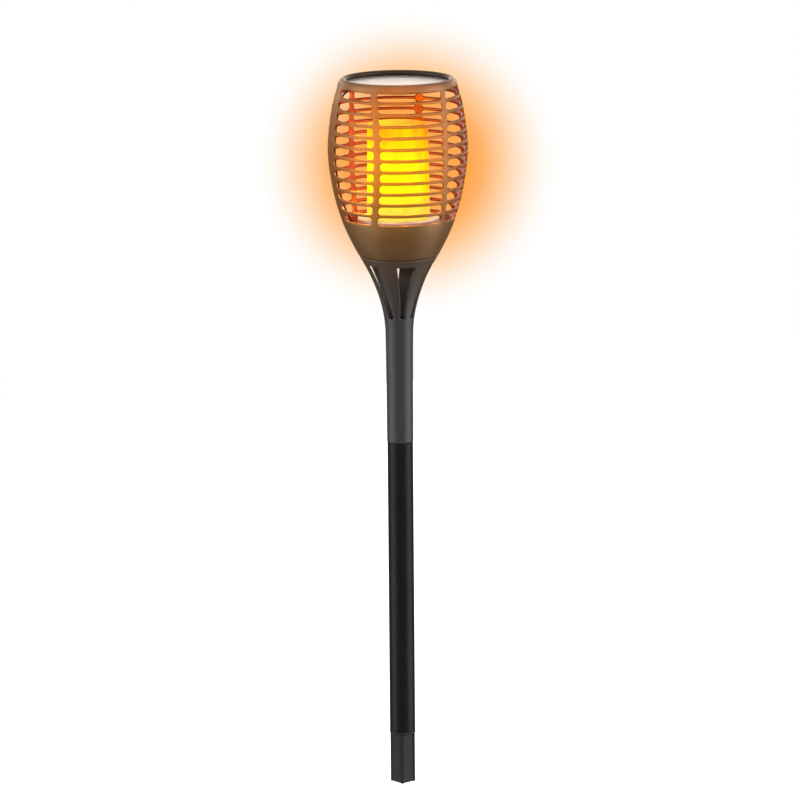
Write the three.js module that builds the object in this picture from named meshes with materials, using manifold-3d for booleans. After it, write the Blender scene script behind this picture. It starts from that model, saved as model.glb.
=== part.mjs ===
// Solar flame torch: a slatted barrel head on a flared neck, a tube pole and a ground spike.
// Millimetres, +Z up, front towards -Y. The origin is on the torch's axis at the ground line.
import * as THREE from 'three';
import { mergeVertices } from 'three/addons/utils/BufferGeometryUtils.js';
import Module from 'manifold-3d';

// ---------- Driving dimensions ----------
const GAP = 0.3; // clearance between pieces that touch

// Heights above the ground line
const HEAD_TOP = 622;
const PANEL_TOP = 617.6;
const DIFFUSER_TOP = 582.8;
const PEDESTAL_TOP = 501.5;
const SEAM = 469; // bottom of the head, resting on the neck
const NECK_TOP = SEAM - GAP;
const NECK_END = 304.5; // lower end of the neck, resting on the pole
const POLE_TOP = NECK_END - GAP;
const COLLAR_TOP = 46.2;
const COLLAR_BOTTOM = 44;
const SPIKE_TIP = -158;

// Outlines of revolution, as [radius, height]
const HEAD_OUTLINE = [
  [34.3, SEAM], [38.2, 476.2], [43.3, 486.6], [47.7, 497.1], [51.1, 507.5], [54.2, 518.5],
  [57, 532], [59.2, 547], [60, 561], [59.3, 574], [57.6, 588], [55.2, 601], [52.3, 611.5],
  [50.8, 616.8], [49.6, 620.4],
];
const NECK_OUTLINE = [
  [11.4, NECK_END], [11.6, 365], [11.9, 398], [12.35, 408], [13.8, 418.4], [16.25, 428.9],
  [19.75, 439.4], [24.1, 450], [29.35, 460.4], [34.1, NECK_TOP],
];

// Slatted cage, moulded as a front and a back half that pull apart along Y
const WALL = 3;
const CUP_WALL = 2.6;
const SLOT_ROWS = 12;
const SLOT_PITCH = 9.67;
const SLOT_HEIGHT = 7;
const FIRST_SLOT_TOP = 615.1;
const SLOT_ROUND = 2.6;
const CENTRE_SLOT_HALF = 27.5;
const SIDE_SLOT_START = 31.9;
const EDGE_WEB = 1.6; // thickness left at the parting line
const PARTING_GAP = 0.3;
const REACH = 80; // a cutter's length from the axis, past everything

// Lip and solar panel
const LIP_INNER = 43.8;
const TRAY_RADIUS = 47;
const TRAY_BOTTOM = 614;
const TRAY_FLOOR = TRAY_BOTTOM + 1.1;
const TRAY_WALL = 1.2;
const COVER_RADIUS = 45.5;
const COVER_THICKNESS = 1;
const CELL_BOARD_RADIUS = 42.2;
const CELL_BOARD_BOTTOM = TRAY_FLOOR + GAP;
const CELL_REACH = 38; // how far a quarter cell runs out from the middle
const CELL_CORNER = 14; // where its cut-off corner starts

// Lamp module
const DIFFUSER_BASE_RADIUS = 27;
const DIFFUSER_TOP_RADIUS = 26;
const DIFFUSER_WALL = 1.5;
const PEDESTAL_RADIUS = 35.2;
const FORMER_RADIUS = 12.4;
const FORMER_TOP = 578;
const LED_BOARD_BOTTOM = 507.5;
const LED_BOARD_TOP = 575;
const LED_COLUMNS = 8;
const LED_ROWS = 4;
const BOARD_RADIUS = 27;
const BOARD_BOTTOM = 492.4;
const BOARD_THICKNESS = 1.4;
const LEAD_HOLE = BOARD_BOTTOM - 1.8; // where the panel's lead enters the pedestal
const LEAD_RADIUS = 0.6;

// Base plate, battery bay and switch
const PLATE_TOP = SEAM + 3.2;
const POCKET_DEPTH = 1.6;
const BAY_HALF = [24.6, 5.8]; // half length and half width of the cell space
const BAY_WALL = 1.3;
const BAY_ROOF = SEAM + 13.7;
const CELL_RADIUS = 5.25; // AAA cell
const CELL_LENGTH = 44.5;
const CELL_HEIGHT = SEAM + 7.5;
const COVER_SCREW_Y = 10.2;
const BASE_SCREWS = [[0, 21], [-17.2, -12], [17.2, -12]];
const SWITCH_Y = -17.5;
const BUTTON_TRAVEL = 1.5;
const LUG_OUTER = 28.3;
const LUG_DEPTH = 5.2;

// Neck, pole and spike
const NECK_WALL = 2.4;
const SOCKET_RADIUS = LUG_OUTER + GAP;
const NECK_BORE = 9.6;
const SOCKET_FLOOR = SEAM - LUG_DEPTH - 0.6;
// Neck openings, drawn in X and Z and cut along Y. Each edge bends once, and is given as the x of
// its top, of its bend and of its bottom. The side ones at the back stand nearer the middle.
const NECK_SLOT_TOP = 461.8;
const NECK_SLOT_MIDDLE = 436;
const NECK_SLOT_BOTTOM = 414.2;
const CENTRE_EDGE = [8.4, 1.65, 2.1];
const SIDE_EDGES = {
  front: [[23.5, 13.1, 7.5], [29, 15.3, 10.4]],
  back: [[22, 11.5, 7.5], [28, 14.5, 10.4]],
};
const POLE_RADIUS = 11.1;
const POLE_WALL = 0.9;
const SPIGOT_REACH = 50; // how far the spigot stands in the neck
const BAR_HALF = 10; // half diagonal of the spike's square tube
const BAR_BORE = 7.2;
const RIB_HALF = 10.7;
const RIB_THICKNESS = 2;
const TIP_HALF = 1.2;
const SPIKE_TURN = -17; // degrees the spike is turned about the axis
const PLUG_REACH = 40;
const SPIKE_TAPER_START = -96;

// ---------- Solids ----------
const wasm = await Module();
wasm.setup();

// A closed three.js geometry as a solid, without the zero-area faces that meet the axis.
function solid(geometry) {
  const bare = geometry.index ? geometry.toNonIndexed() : geometry.clone();
  bare.deleteAttribute('normal');
  bare.deleteAttribute('uv');
  const merged = mergeVertices(bare, 1e-4);
  const index = merged.index.array;
  const faces = [];
  for (let i = 0; i < index.length; i += 3) {
    const [a, b, c] = [index[i], index[i + 1], index[i + 2]];
    if (a !== b && b !== c && c !== a) faces.push(a, b, c);
  }
  return new wasm.Manifold(new wasm.Mesh({
    numProp: 3,
    vertProperties: merged.attributes.position.array,
    triVerts: new Uint32Array(faces),
  }));
}

function geometryOf(body) {
  const { vertProperties, triVerts } = body.getMesh();
  const geometry = new THREE.BufferGeometry();
  geometry.setAttribute('position', new THREE.BufferAttribute(vertProperties, 3));
  geometry.setIndex(new THREE.BufferAttribute(triVerts, 1));
  geometry.computeVertexNormals();
  return geometry;
}

const join = (first, ...rest) => rest.reduce((sum, body) => sum.add(body), first);
const cut = (first, ...rest) => rest.reduce((left, body) => left.subtract(body), first);

// A profile of [radius, height] points revolved about +Z. A profile that leaves the axis is closed.
function revolve(profile, segments = 32) {
  const points = profile.map(([r, z]) => new THREE.Vector2(r, z));
  const onAxis = points[0].x === 0 && points.at(-1).x === 0;
  if (!onAxis) points.push(points[0].clone());
  if (THREE.ShapeUtils.area(points) < 0) points.reverse();
  return solid(new THREE.LatheGeometry(points, segments).rotateX(Math.PI / 2));
}

const cylinder = (radius, bottom, top, segments = 16) =>
  revolve([[0, bottom], [radius, bottom], [radius, top], [0, top]], segments);

function box(from, to) {
  const [x, y, z] = from.map((low, axis) => to[axis] - low);
  const middle = from.map((low, axis) => (low + to[axis]) / 2);
  return solid(new THREE.BoxGeometry(x, y, z).translate(...middle));
}

// An outline in X and Y, raised from one height to another.
function raise(shape, bottom, top, curveSegments = 4) {
  const options = { depth: top - bottom, bevelEnabled: false, curveSegments };
  return solid(new THREE.ExtrudeGeometry(shape, options).translate(0, 0, bottom));
}

// An outline in X and Z, run along Y from one place to another.
function runAlongY(shape, from, to, curveSegments = 1) {
  const options = { depth: to - from, bevelEnabled: false, curveSegments };
  const geometry = new THREE.ExtrudeGeometry(shape, options);
  return solid(geometry.rotateX(Math.PI / 2).translate(0, to, 0));
}

// A polygon with each corner rounded off.
function roundedPolygon(corners, radius) {
  const points = corners.map(([x, y]) => new THREE.Vector2(x, y));
  const towards = (from, to) => from.clone().add(to.clone().sub(from).setLength(radius));
  const shape = new THREE.Shape();
  points.forEach((corner, i) => {
    const before = towards(corner, points.at(i - 1));
    const after = towards(corner, points[(i + 1) % points.length]);
    if (i === 0) shape.moveTo(before.x, before.y);
    else shape.lineTo(before.x, before.y);
    shape.quadraticCurveTo(corner.x, corner.y, after.x, after.y);
  });
  shape.closePath();
  return shape;
}

const roundedRectangle = (halfX, halfY, radius) => roundedPolygon(
  [[-halfX, -halfY], [halfX, -halfY], [halfX, halfY], [-halfX, halfY]], radius);

// A round wire or lead along a smooth path of [x, y, z] points.
function wire(path, radius, steps, sides = 6) {
  const curve = new THREE.CatmullRomCurve3(path.map((p) => new THREE.Vector3(...p)), false, 'centripetal');
  const section = new THREE.Shape();
  for (let i = 0; i < sides; i++) {
    const angle = (2 * Math.PI * i) / sides;
    const point = [radius * Math.cos(angle), radius * Math.sin(angle)];
    if (i === 0) section.moveTo(...point);
    else section.lineTo(...point);
  }
  section.closePath();
  return solid(new THREE.ExtrudeGeometry(section, { extrudePath: curve, steps }));
}

// The radius of a smooth outline at a height.
function radiusFinder(outline) {
  const curve = new THREE.SplineCurve(outline.map(([r, z]) => new THREE.Vector2(r, z)));
  const points = curve.getPoints(40 * outline.length);
  return (height) => {
    const i = Math.max(1, points.findIndex((p) => p.y >= height));
    const [low, high] = [points[i - 1], points[i]];
    const share = (height - low.y) / (high.y - low.y);
    return low.x + share * (high.x - low.x);
  };
}

const headRadius = radiusFinder(HEAD_OUTLINE);
const neckRadius = radiusFinder(NECK_OUTLINE);

// ---------- Head: cage and panel ----------
const slotTop = (row) => FIRST_SLOT_TOP - row * SLOT_PITCH;
const slatHeights = Array.from({ length: SLOT_ROWS + 1 },
  (_, row) => slotTop(row) + (SLOT_PITCH - SLOT_HEIGHT) / 2);

function cageShell() {
  // Every other slat, from the cup up to the rim band, carries a ring of corners.
  const slats = slatHeights.filter((_, row) => row > 0 && row % 2 === 0).reverse();
  const cup = [SEAM + 6, SEAM + 12.5, 490];
  const outer = [...cup, ...slats].map((z) => [headRadius(z), z]);
  const inner = [...cup.slice(1).map((z) => [headRadius(z) - CUP_WALL, z]),
    ...slats.map((z) => [headRadius(z) - WALL, z])];
  const lip = [
    [50.8, 616.8], [49.5, 620.8], [47.6, HEAD_TOP], [45, HEAD_TOP - 0.4],
    [LIP_INNER, HEAD_TOP - 2], [LIP_INNER, PANEL_TOP + GAP],
    [headRadius(PANEL_TOP) - WALL, PANEL_TOP + GAP],
  ];
  // A groove at the bottom holds the base plate between the halves.
  const groove = [
    [35.2, SEAM + 6.7], [31.8, SEAM + 4.9], [31.8, PLATE_TOP + GAP], [33, PLATE_TOP + GAP], [31.6, SEAM],
  ];
  return revolve([[34.3, SEAM], ...outer, ...lip, ...inner.reverse(), ...groove], 32);
}

// The openings of one row, cut straight through the front and the back.
function slotRow(row) {
  const top = slotTop(row);
  const bottom = top - SLOT_HEIGHT;
  const centre = roundedPolygon([
    [-CENTRE_SLOT_HALF, bottom], [CENTRE_SLOT_HALF, bottom],
    [CENTRE_SLOT_HALF, top], [-CENTRE_SLOT_HALF, top]], SLOT_ROUND);
  const sides = [-1, 1].map((side) => roundedPolygon([
    [side * SIDE_SLOT_START, bottom], [side * (headRadius(bottom) - EDGE_WEB), bottom],
    [side * (headRadius(top) - EDGE_WEB), top], [side * SIDE_SLOT_START, top]], SLOT_ROUND));
  return [centre, ...sides].map((shape) => runAlongY(shape, -REACH, REACH));
}

function cageHalf(side) {
  const rows = Array.from({ length: SLOT_ROWS }, (_, row) => slotRow(row)).flat();
  const [near, far] = [side * PARTING_GAP / 2, side * REACH];
  const half = box([-REACH, Math.min(near, far), SEAM - 1], [REACH, Math.max(near, far), HEAD_TOP + 1]);
  return cut(cageShell().intersect(half), ...rows);
}

const panelTray = () => revolve([
  [0, TRAY_BOTTOM], [TRAY_RADIUS, TRAY_BOTTOM], [TRAY_RADIUS, PANEL_TOP],
  [TRAY_RADIUS - TRAY_WALL, PANEL_TOP], [TRAY_RADIUS - TRAY_WALL, TRAY_FLOOR], [0, TRAY_FLOOR]], 40);

function panelGasket() {
  const [inner, top] = [CELL_BOARD_RADIUS + GAP, PANEL_TOP - COVER_THICKNESS - GAP];
  return revolve([
    [inner, CELL_BOARD_BOTTOM], [COVER_RADIUS, CELL_BOARD_BOTTOM], [COVER_RADIUS, top], [inner, top]], 40);
}

// A round board with four quarter cells on it.
function solarCells() {
  const board = cylinder(CELL_BOARD_RADIUS, CELL_BOARD_BOTTOM, CELL_BOARD_BOTTOM + 0.6, 40);
  const cells = [[1, 1], [-1, 1], [-1, -1], [1, -1]].map(([x, y]) => {
    const shape = new THREE.Shape();
    shape.moveTo(x, y);
    shape.lineTo(x * CELL_REACH, y);
    shape.lineTo(x * CELL_REACH, y * CELL_CORNER);
    shape.lineTo(x * CELL_CORNER, y * CELL_REACH);
    shape.lineTo(x, y * CELL_REACH);
    shape.closePath();
    return raise(shape, CELL_BOARD_BOTTOM + 0.4, CELL_BOARD_BOTTOM + 0.9);
  });
  return join(board, ...cells);
}

const panelCover = () => cylinder(COVER_RADIUS, PANEL_TOP - COVER_THICKNESS, PANEL_TOP, 40);

// The lead runs down inside the left parting web and into the lamp's pedestal.
function panelLead() {
  const radius = 0.8;
  const inside = (z) => [-(headRadius(z) - WALL - 1 - radius), 0, z];
  return wire([
    [-39, 0, TRAY_BOTTOM - 0.4 - radius], [-44, 0, TRAY_BOTTOM - 2.5],
    ...[606, 590, 574, 558, 542, 530, 520].map(inside),
    [-42, 0, PEDESTAL_TOP - 0.5], [-37, 0, BOARD_BOTTOM - 0.4], [-33.5, 0, LEAD_HOLE],
    [-30, 0, LEAD_HOLE], [-26, 0, LEAD_HOLE + 0.2]], radius, 34);
}

// ---------- Head: lamp ----------
const flameDiffuser = () => revolve([
  [0, DIFFUSER_TOP], [DIFFUSER_TOP_RADIUS - 3, DIFFUSER_TOP],
  [DIFFUSER_TOP_RADIUS - 0.8, DIFFUSER_TOP - 0.9],
  [DIFFUSER_TOP_RADIUS, DIFFUSER_TOP - 3], [DIFFUSER_BASE_RADIUS, PEDESTAL_TOP + GAP],
  [DIFFUSER_BASE_RADIUS - DIFFUSER_WALL, PEDESTAL_TOP + GAP],
  [DIFFUSER_TOP_RADIUS - DIFFUSER_WALL, DIFFUSER_TOP - 3],
  [DIFFUSER_TOP_RADIUS - 3, DIFFUSER_TOP - DIFFUSER_WALL], [0, DIFFUSER_TOP - DIFFUSER_WALL]], 40);

function ledFormer() {
  const inner = FORMER_RADIUS - 1.4;
  const tube = revolve([
    [0, FORMER_TOP], [FORMER_RADIUS, FORMER_TOP], [FORMER_RADIUS, PEDESTAL_TOP + GAP],
    [inner, PEDESTAL_TOP + GAP], [inner, FORMER_TOP - 1.4], [0, FORMER_TOP - 1.4]], 24);
  const leadNotch = box([FORMER_RADIUS - 3, -1.6, PEDESTAL_TOP],
    [FORMER_RADIUS + 1, 1.6, LED_BOARD_BOTTOM - 0.4]);
  return cut(tube, leadNotch);
}

// A flexible board rolled round the former, with its lamps standing on it.
function ledBoard() {
  const [inner, outer] = [FORMER_RADIUS + GAP, FORMER_RADIUS + GAP + 0.7];
  const [bottom, top] = [LED_BOARD_BOTTOM, LED_BOARD_TOP];
  const roll = revolve([[inner, bottom], [outer, bottom], [outer, top], [inner, top]], 24);
  const pitch = (top - bottom) / LED_ROWS;
  const lamps = [];
  for (let column = 0; column < LED_COLUMNS; column++) {
    for (let row = 0; row < LED_ROWS; row++) {
      const z = bottom + (row + 0.5) * pitch;
      const lamp = box([-1.6, outer - 0.4, z - 1.4], [1.6, outer + 1.4, z + 1.4]);
      lamps.push(lamp.rotate([0, 0, (360 * (column + 0.5)) / LED_COLUMNS]));
    }
  }
  return join(roll, ...lamps);
}

function lampBase() {
  const foot = PLATE_TOP + GAP;
  const skin = 2;
  const shell = revolve([
    [31.4, foot], [31.4, foot + 2], [34.2, foot + 5.2], [PEDESTAL_RADIUS, foot + 11.4],
    [PEDESTAL_RADIUS, PEDESTAL_TOP - 1.4], [PEDESTAL_RADIUS - 1.2, PEDESTAL_TOP],
    [25.1, PEDESTAL_TOP], [25.1, PEDESTAL_TOP + 2.8], [23.6, PEDESTAL_TOP + 2.8],
    [23.6, PEDESTAL_TOP], [6, PEDESTAL_TOP], [6, PEDESTAL_TOP - skin],
    [PEDESTAL_RADIUS - skin, PEDESTAL_TOP - skin], [PEDESTAL_RADIUS - skin, foot + 11.4],
    [32, foot + 5.4], [29.4, foot + 2.2], [29.4, foot]], 28);
  const posts = BASE_SCREWS.map(([x, y]) =>
    cylinder(3, foot, PEDESTAL_TOP - 1, 10).translate([x, y, 0]));
  const bores = BASE_SCREWS.map(([x, y]) => cylinder(1.5, foot - 1, foot + 10.4, 8).translate([x, y, 0]));
  const leadHole = cylinder(1.4, 30, 38, 10).rotate([0, -90, 0]).translate([0, 0, LEAD_HOLE]);
  return cut(join(shell, ...posts), ...bores, leadHole);
}

function controlBoard() {
  const top = BOARD_BOTTOM + BOARD_THICKNESS;
  const board = cylinder(BOARD_RADIUS, BOARD_BOTTOM, top, 32);
  const postHoles = BASE_SCREWS.map(([x, y]) =>
    cylinder(3.4, BOARD_BOTTOM - 1, top + 1, 12).translate([x, y, 0]));
  const coil = cylinder(3.4, top - 0.3, top + 3.6, 14).translate([-9, 9, 0]);
  const chip = box([6, 5, top - 0.3], [13, 12, top + 1.4]);
  const capacitor = cylinder(2.4, top - 0.3, top + 3.8, 12).translate([10, -8, 0]);
  return cut(join(board, coil, chip, capacitor), ...postHoles);
}

const boardLead = () => wire([
  [3, 0, BOARD_BOTTOM + BOARD_THICKNESS + GAP], [3, 0, 498.5], [4, 0, PEDESTAL_TOP + 1.6],
  [9, 0, PEDESTAL_TOP + 3.2], [12.6, 0, PEDESTAL_TOP + 3.8],
  [13.1, 0, LED_BOARD_BOTTOM - GAP]], LEAD_RADIUS, 12);

// ---------- Head: base plate, battery and switch ----------
// The cover's outline: a rounded rectangle with a screw ear in the middle of each long side.
function coverSolid(extra, bottom, top) {
  const [halfX, halfY] = [BAY_HALF[0] + 1.8 + extra, BAY_HALF[1] + 1.6 + extra];
  const plate = raise(roundedRectangle(halfX, halfY, 2), bottom, top, 2);
  const ears = [-1, 1].map((side) =>
    cylinder(3 + extra, bottom, top, 12).translate([0, side * COVER_SCREW_Y, 0]));
  return join(plate, ...ears);
}

// One of the two arcs that push into the neck.
function lug(middle) {
  const [inner, outer, half] = [LUG_OUTER - 1.7, LUG_OUTER, THREE.MathUtils.degToRad(40)];
  const shape = new THREE.Shape();
  shape.absarc(0, 0, outer, middle - half, middle + half, false);
  shape.absarc(0, 0, inner, middle + half, middle - half, true);
  return raise(shape, SEAM - LUG_DEPTH, SEAM + 0.5, 6);
}

function basePlate() {
  const [length, width] = BAY_HALF;
  const plate = revolve([[0, SEAM], [31.1, SEAM], [32.4, PLATE_TOP], [0, PLATE_TOP]], 32);
  const bay = box([-length - BAY_WALL, -width - BAY_WALL, SEAM + 1],
    [length + BAY_WALL, width + BAY_WALL, BAY_ROOF + 1.2]);
  const bosses = [-1, 1].map((side) =>
    cylinder(2.5, PLATE_TOP - 1, SEAM + 9.9, 12).translate([0, side * COVER_SCREW_Y, 0]));
  const cellSpace = box([-length, -width, SEAM - 1], [length, width, BAY_ROOF]);
  const pocket = coverSolid(GAP, SEAM - 1, SEAM + POCKET_DEPTH);
  const coverBores = [-1, 1].map((side) =>
    cylinder(1.25, SEAM, SEAM + 8.4, 10).translate([0, side * COVER_SCREW_Y, 0]));
  const baseBores = BASE_SCREWS.map(([x, y]) =>
    cylinder(1.7, SEAM - 1, PLATE_TOP + 1, 12).translate([x, y, 0]));
  const buttonHole = join(cylinder(3.3, SEAM - 1, SEAM + 1.8), cylinder(4.1, SEAM + 1.7, PLATE_TOP + 1));
  const leadHoles = [-1, 1].map((side) =>
    cylinder(1, BAY_ROOF - 1, BAY_ROOF + 3, 8).translate([side * 23.5, 2.5, 0]));
  return cut(join(plate, bay, ...bosses, lug(Math.PI / 2), lug(-Math.PI / 2)), cellSpace, pocket,
    ...coverBores, ...baseBores, buttonHole.translate([0, SWITCH_Y, 0]), ...leadHoles);
}

function batteryCover() {
  const holes = [-1, 1].map((side) =>
    cylinder(1.4, SEAM - 1, SEAM + 3, 12).translate([0, side * COVER_SCREW_Y, 0]));
  return cut(coverSolid(0, SEAM + 0.1, SEAM + POCKET_DEPTH - 0.2), ...holes);
}

// A cell lying along X, with its positive cap towards -X.
function batteryCell() {
  const end = CELL_LENGTH - 1;
  const body = revolve([
    [0, 0], [4.7, 0], [CELL_RADIUS, 0.6], [CELL_RADIUS, end - 0.6], [4.7, end],
    [1.9, end], [1.9, CELL_LENGTH], [0, CELL_LENGTH]], 20);
  return body.rotate([0, -90, 0]).translate([21.1, 0, CELL_HEIGHT]);
}

const batteryContact = () => join(
  box([-24.4, -4, SEAM + 2.9], [-23.9, 4, SEAM + 12.3]),
  cylinder(1.6, -24, -23.7, 12).rotate([0, 90, 0]).translate([0, 0, CELL_HEIGHT]));

// A conical spring between the cell's flat end and the bay's wall.
function batterySpring() {
  const [turns, steps, from, to] = [2.5, 26, 21.8, 23.8];
  const path = Array.from({ length: steps + 1 }, (_, i) => {
    const share = i / steps;
    const angle = 2 * Math.PI * turns * share;
    const radius = 1.8 + 2.4 * share;
    return [from + (to - from) * share, radius * Math.cos(angle), CELL_HEIGHT + radius * Math.sin(angle)];
  });
  return wire(path, 0.3, steps, 5);
}

const batteryLead = (side) => wire([
  [side * 23.5, 2.5, BAY_ROOF - 0.8], [side * 23.5, 2.5, BAY_ROOF + 4.2],
  [side * 20, 3, BOARD_BOTTOM - 2.9], [side * 18.5, 3, BOARD_BOTTOM - 2 * GAP]], LEAD_RADIUS, 6);

// A pan-head screw pointing up, its head's underside at the origin.
function screw(capRadius, shankRadius, length) {
  const cap = 1.5;
  const reach = capRadius * 0.55;
  const blank = revolve([
    [0, -cap], [capRadius * 0.7, -cap], [capRadius, -cap / 2], [capRadius, 0],
    [shankRadius, 0], [shankRadius, length - 1.2], [0.3, length], [0, length]], 14);
  const recess = [0, 90].map((turn) =>
    box([-reach, -0.35, -cap - 1], [reach, 0.35, -cap + 0.8]).rotate([0, 0, turn]));
  return cut(blank, ...recess);
}

function switchBody() {
  const [bottom, top] = [PLATE_TOP + GAP, PLATE_TOP + 7.6];
  const half = 4.6;
  const block = box([-half, SWITCH_Y - half, bottom], [half, SWITCH_Y + half, top]);
  const space = join(cylinder(4.1, bottom - 1, bottom + 2), cylinder(1.8, bottom + 1, top - 1.6));
  return cut(block, space.translate([0, SWITCH_Y, 0]));
}

const switchLead = () => wire([
  [0, SWITCH_Y, PLATE_TOP + 7.9], [0, SWITCH_Y, PLATE_TOP + 12.8],
  [0, SWITCH_Y, BOARD_BOTTOM - GAP]], LEAD_RADIUS, 2);

// The cap stands out below the plate; its flange keeps it in.
const switchButton = () => revolve([
  [0, SEAM - 2.6], [2.4, SEAM - 2.6], [3, SEAM - 2], [3, SEAM + 1.9], [3.8, SEAM + 1.9],
  [3.8, SEAM + 2.7], [1.5, SEAM + 2.7], [1.5, SEAM + 2.7 + 2.5 * BUTTON_TRAVEL],
  [0, SEAM + 2.7 + 2.5 * BUTTON_TRAVEL]], 20).translate([0, SWITCH_Y, 0]);

// ---------- Neck ----------
// An opening in the neck, between its two edges.
function slotShape(left, right) {
  const shape = new THREE.Shape();
  shape.moveTo(left[0], NECK_SLOT_TOP);
  shape.quadraticCurveTo(left[1], NECK_SLOT_MIDDLE, left[2], NECK_SLOT_BOTTOM);
  shape.lineTo(right[2], NECK_SLOT_BOTTOM);
  shape.quadraticCurveTo(right[1], NECK_SLOT_MIDDLE, right[0], NECK_SLOT_TOP);
  shape.closePath();
  return shape;
}

function neckFunnel() {
  const flare = [404, 411, 418.4, 427, 436, 446, 455.5, SOCKET_FLOOR];
  const outer = [NECK_END, 365, ...flare].map((z) => [neckRadius(z), z]);
  const top = [[34.1, NECK_TOP - 0.7], [33.4, NECK_TOP], [SOCKET_RADIUS, NECK_TOP],
    [SOCKET_RADIUS, SOCKET_FLOOR]];
  const inner = [SOCKET_FLOOR - 1.1, ...flare.slice(1, -1).reverse()]
    .map((z) => [neckRadius(z) - NECK_WALL, z]);
  const shell = revolve([...outer, ...top, ...inner, [NECK_BORE, 404], [NECK_BORE, NECK_END]], 30);
  const mirrored = (edge) => edge.map((x) => -x);
  const sides = ([inner, outer], from, to) => [
    slotShape(inner, outer), slotShape(mirrored(outer), mirrored(inner)),
  ].map((shape) => runAlongY(shape, from, to, 4));
  const centre = runAlongY(slotShape(mirrored(CENTRE_EDGE), CENTRE_EDGE), -REACH, REACH, 4);
  return cut(shell, centre, ...sides(SIDE_EDGES.front, -REACH, 0), ...sides(SIDE_EDGES.back, 0, REACH));
}

// ---------- Pole and spike ----------
const poleBore = POLE_RADIUS - POLE_WALL;

const poleTube = () => revolve([
  [poleBore, COLLAR_TOP + GAP], [POLE_RADIUS, COLLAR_TOP + GAP], [POLE_RADIUS, POLE_TOP],
  [poleBore, POLE_TOP]], 36);

const poleSpigot = () => revolve([
  [7.4, POLE_TOP - 38], [poleBore - GAP, POLE_TOP - 38], [poleBore - GAP, POLE_TOP],
  [NECK_BORE - GAP, POLE_TOP + GAP], [NECK_BORE - GAP, NECK_END + SPIGOT_REACH - 2],
  [NECK_BORE - 1.3, NECK_END + SPIGOT_REACH], [7.4, NECK_END + SPIGOT_REACH]], 32);

// A hollow square bar with a rib on each corner, tapering to a point, and a plug for the pole.
function groundSpike() {
  const top = COLLAR_TOP + PLUG_REACH;
  const shoulder = COLLAR_BOTTOM + 1;
  const plug = revolve([
    [0, COLLAR_TOP - 1], [poleBore - GAP, COLLAR_TOP - 1], [poleBore - GAP, top - 2],
    [poleBore - 1.4, top], [0, top]], 32);
  const collar = cylinder(POLE_RADIUS + 0.2, COLLAR_BOTTOM, COLLAR_TOP, 36);
  const bar = revolve([
    [0, SPIKE_TIP], [TIP_HALF, SPIKE_TIP], [BAR_HALF, SPIKE_TAPER_START], [BAR_HALF, shoulder],
    [0, shoulder]], 4);
  const bore = join(
    cylinder(BAR_BORE, COLLAR_BOTTOM + 2, top + 1, 32),
    revolve([[0, SPIKE_TAPER_START - 20], [BAR_BORE, SPIKE_TAPER_START + 20],
      [BAR_BORE, COLLAR_BOTTOM + 3], [0, COLLAR_BOTTOM + 3]], 4));
  const outline = new THREE.Shape();
  outline.moveTo(-RIB_HALF, shoulder);
  outline.lineTo(-RIB_HALF, SPIKE_TAPER_START);
  outline.lineTo(-TIP_HALF, SPIKE_TIP);
  outline.lineTo(TIP_HALF, SPIKE_TIP);
  outline.lineTo(RIB_HALF, SPIKE_TAPER_START);
  outline.lineTo(RIB_HALF, shoulder);
  outline.closePath();
  const blade = runAlongY(outline, -RIB_THICKNESS / 2, RIB_THICKNESS / 2);
  const ribs = [0, 90].map((turn) => blade.rotate([0, 0, turn]));
  return cut(join(collar, plug, bar, ...ribs), bore).rotate([0, 0, SPIKE_TURN]);
}

// ---------- Materials ----------
const finish = (color, roughness, metalness = 0, extra = {}) =>
  new THREE.MeshStandardMaterial({ color, roughness, metalness, ...extra });

const bronzePaint = finish('#7a5b3e', 0.42, 0.35);
const blackPlastic = finish('#1f1f20', 0.5);
const greyPlastic = finish('#3f3e3f', 0.55);
const satinBlack = finish('#1b1b1c', 0.4);
const frostedFlame = finish('#ffb428', 0.6, 0, { transparent: true, opacity: 0.8 });
const whitePlastic = finish('#efe3d6', 0.5);
const clearCover = finish('#dfe6ea', 0.08, 0, { transparent: true, opacity: 0.35 });
const cellBlue = finish('#161d33', 0.25);
const boardGreen = finish('#1d5a34', 0.5);
const steel = finish('#b9bcc0', 0.3, 1);
const cellWrap = finish('#2c6b4a', 0.4);
const rubber = finish('#141414', 0.8);
const leadSleeve = finish('#22201f', 0.6);

// ---------- Assembly ----------
const torch = new THREE.Group();
torch.name = 'flame_torch';

function add(name, body, material, place = [0, 0, 0]) {
  const mesh = new THREE.Mesh(geometryOf(body), material);
  mesh.name = name;
  mesh.position.set(...place);
  torch.add(mesh);
}

add('cage_front', cageHalf(-1), bronzePaint);
add('cage_back', cageHalf(1), bronzePaint);
add('panel_tray', panelTray(), blackPlastic);
add('panel_gasket', panelGasket(), rubber);
add('solar_cells', solarCells(), cellBlue);
add('panel_cover', panelCover(), clearCover);
add('panel_lead', panelLead(), leadSleeve);
add('flame_diffuser', flameDiffuser(), frostedFlame);
add('led_former', ledFormer(), whitePlastic);
add('led_board', ledBoard(), boardGreen);
add('lamp_base', lampBase(), whitePlastic);
add('control_board', controlBoard(), boardGreen);
add('board_lead', boardLead(), leadSleeve);
add('base_plate', basePlate(), blackPlastic);
add('battery_cell', batteryCell(), cellWrap);
add('battery_contact', batteryContact(), steel);
add('battery_spring', batterySpring(), steel);
add('battery_lead_positive', batteryLead(-1), leadSleeve);
add('battery_lead_negative', batteryLead(1), leadSleeve);
add('battery_cover', batteryCover(), blackPlastic);
[-1, 1].forEach((side, i) => {
  add(`cover_screw_${i + 1}`, screw(2.2, 1, 7), steel, [0, side * COVER_SCREW_Y, SEAM]);
});
BASE_SCREWS.forEach(([x, y], i) => {
  add(`base_screw_${i + 1}`, screw(2.8, 1.2, 12), steel, [x, y, SEAM - 0.1]);
});
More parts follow.
